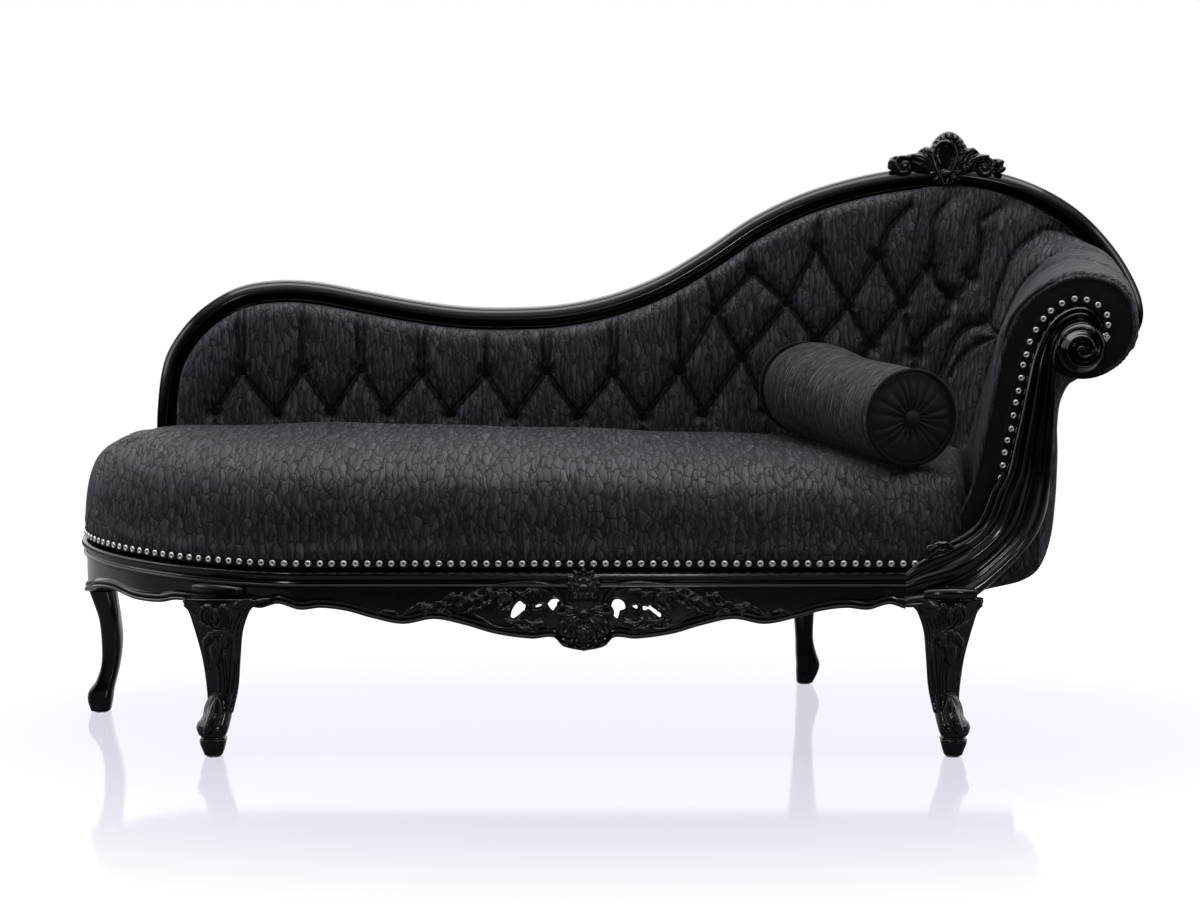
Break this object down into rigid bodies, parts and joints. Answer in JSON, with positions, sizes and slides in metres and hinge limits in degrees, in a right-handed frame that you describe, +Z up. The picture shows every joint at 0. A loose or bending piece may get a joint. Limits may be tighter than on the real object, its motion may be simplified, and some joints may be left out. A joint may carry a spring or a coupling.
{
  "type": "fainting couch",
  "caption": "Carved black fainting couch with a scrolling back rising to a crest, one rolled arm, a D-shaped foot end, deep-buttoned upholstery and a loose bolster.",
  "frame": {"origin": "on the floor under the middle of the whole couch's bounding box", "axes": "+X towards the rolled-arm head end, to the right as one stands in front; +Y towards the back; +Z up"},
  "size_m": [1.8644, 0.637, 0.999],
  "materials": {
    "lacquered_wood": "high-gloss black lacquer",
    "brocade": "black and charcoal jacquard weave",
    "plain_cloth": "plain black cloth",
    "frame_timber": "sawn beech",
    "bright_steel": "bright nickel-plated steel",
    "jute": "woven jute strap",
    "wadding": "felted wadding",
    "lining": "thin black lining cloth"
  },
  "bodies": {
    "couch": {"front_seat_rail": "lacquered_wood", "foot_end_rail": "lacquered_wood", "rear_seat_rail": "lacquered_wood", "front_left_leg": "lacquered_wood", "front_right_leg": "lacquered_wood", "rear_left_leg": "lacquered_wood", "rear_right_leg": "lacquered_wood", "knee_carving_left": "lacquered_wood", "knee_carving_right": "lacquered_wood", "apron_cartouche": "lacquered_wood", "apron_carving_left": "lacquered_wood", "apron_carving_right": "lacquered_wood", "back_rail_foot": "lacquered_wood", "back_rail_middle": "lacquered_wood", "back_rail_head": "lacquered_wood", "crest_carving": "lacquered_wood", "arm_front_post": "lacquered_wood", "seat_cushion": "brocade", "inside_back_pad": "brocade", "inside_arm_pad": "brocade", "outside_arm_panel": "brocade", "arm_facing": "plain_cloth", "arm_nail_band": "plain_cloth", "seat_nail_band": "plain_cloth", "outside_back_panel": "plain_cloth", "seat_stretcher_1": "frame_timber", "seat_stretcher_2": "frame_timber", "seat_stretcher_3": "frame_timber", "head_end_rail": "frame_timber", "arm_front_stump": "frame_timber", "arm_rear_post": "frame_timber", "arm_roll_core": "frame_timber", "back_upright_1": "frame_timber", "back_upright_2": "frame_timber", "back_upright_3": "frame_timber", "back_upright_4": "frame_timber", "back_tacking_rail_1": "frame_timber", "back_tacking_rail_2": "frame_timber", "back_tacking_rail_3": "frame_timber", "back_tacking_rail_4": "frame_timber", "front_left_glide": "bright_steel", "front_right_glide": "bright_steel", "rear_left_glide": "bright_steel", "rear_right_glide": "bright_steel", "seat_spring_1": "bright_steel", "seat_spring_2": "bright_steel", "seat_spring_3": "bright_steel", "seat_spring_4": "bright_steel", "seat_webbing": "jute", "seat_deck": "wadding", "dust_cover": "lining"},
    "bolster": {"bolster_sleeve": "brocade", "bolster_welt_near": "brocade", "bolster_welt_far": "brocade", "bolster_end_near": "brocade", "bolster_end_far": "brocade", "bolster_button_near": "brocade", "bolster_button_far": "brocade", "bolster_filling": "wadding"}
  },
  "joints": [
    {"name": "bolster_lift", "type": "slide", "parent": "couch", "child": "bolster", "axis": [0, 0, 1], "range_m": [0, 0.45]}
  ]
}
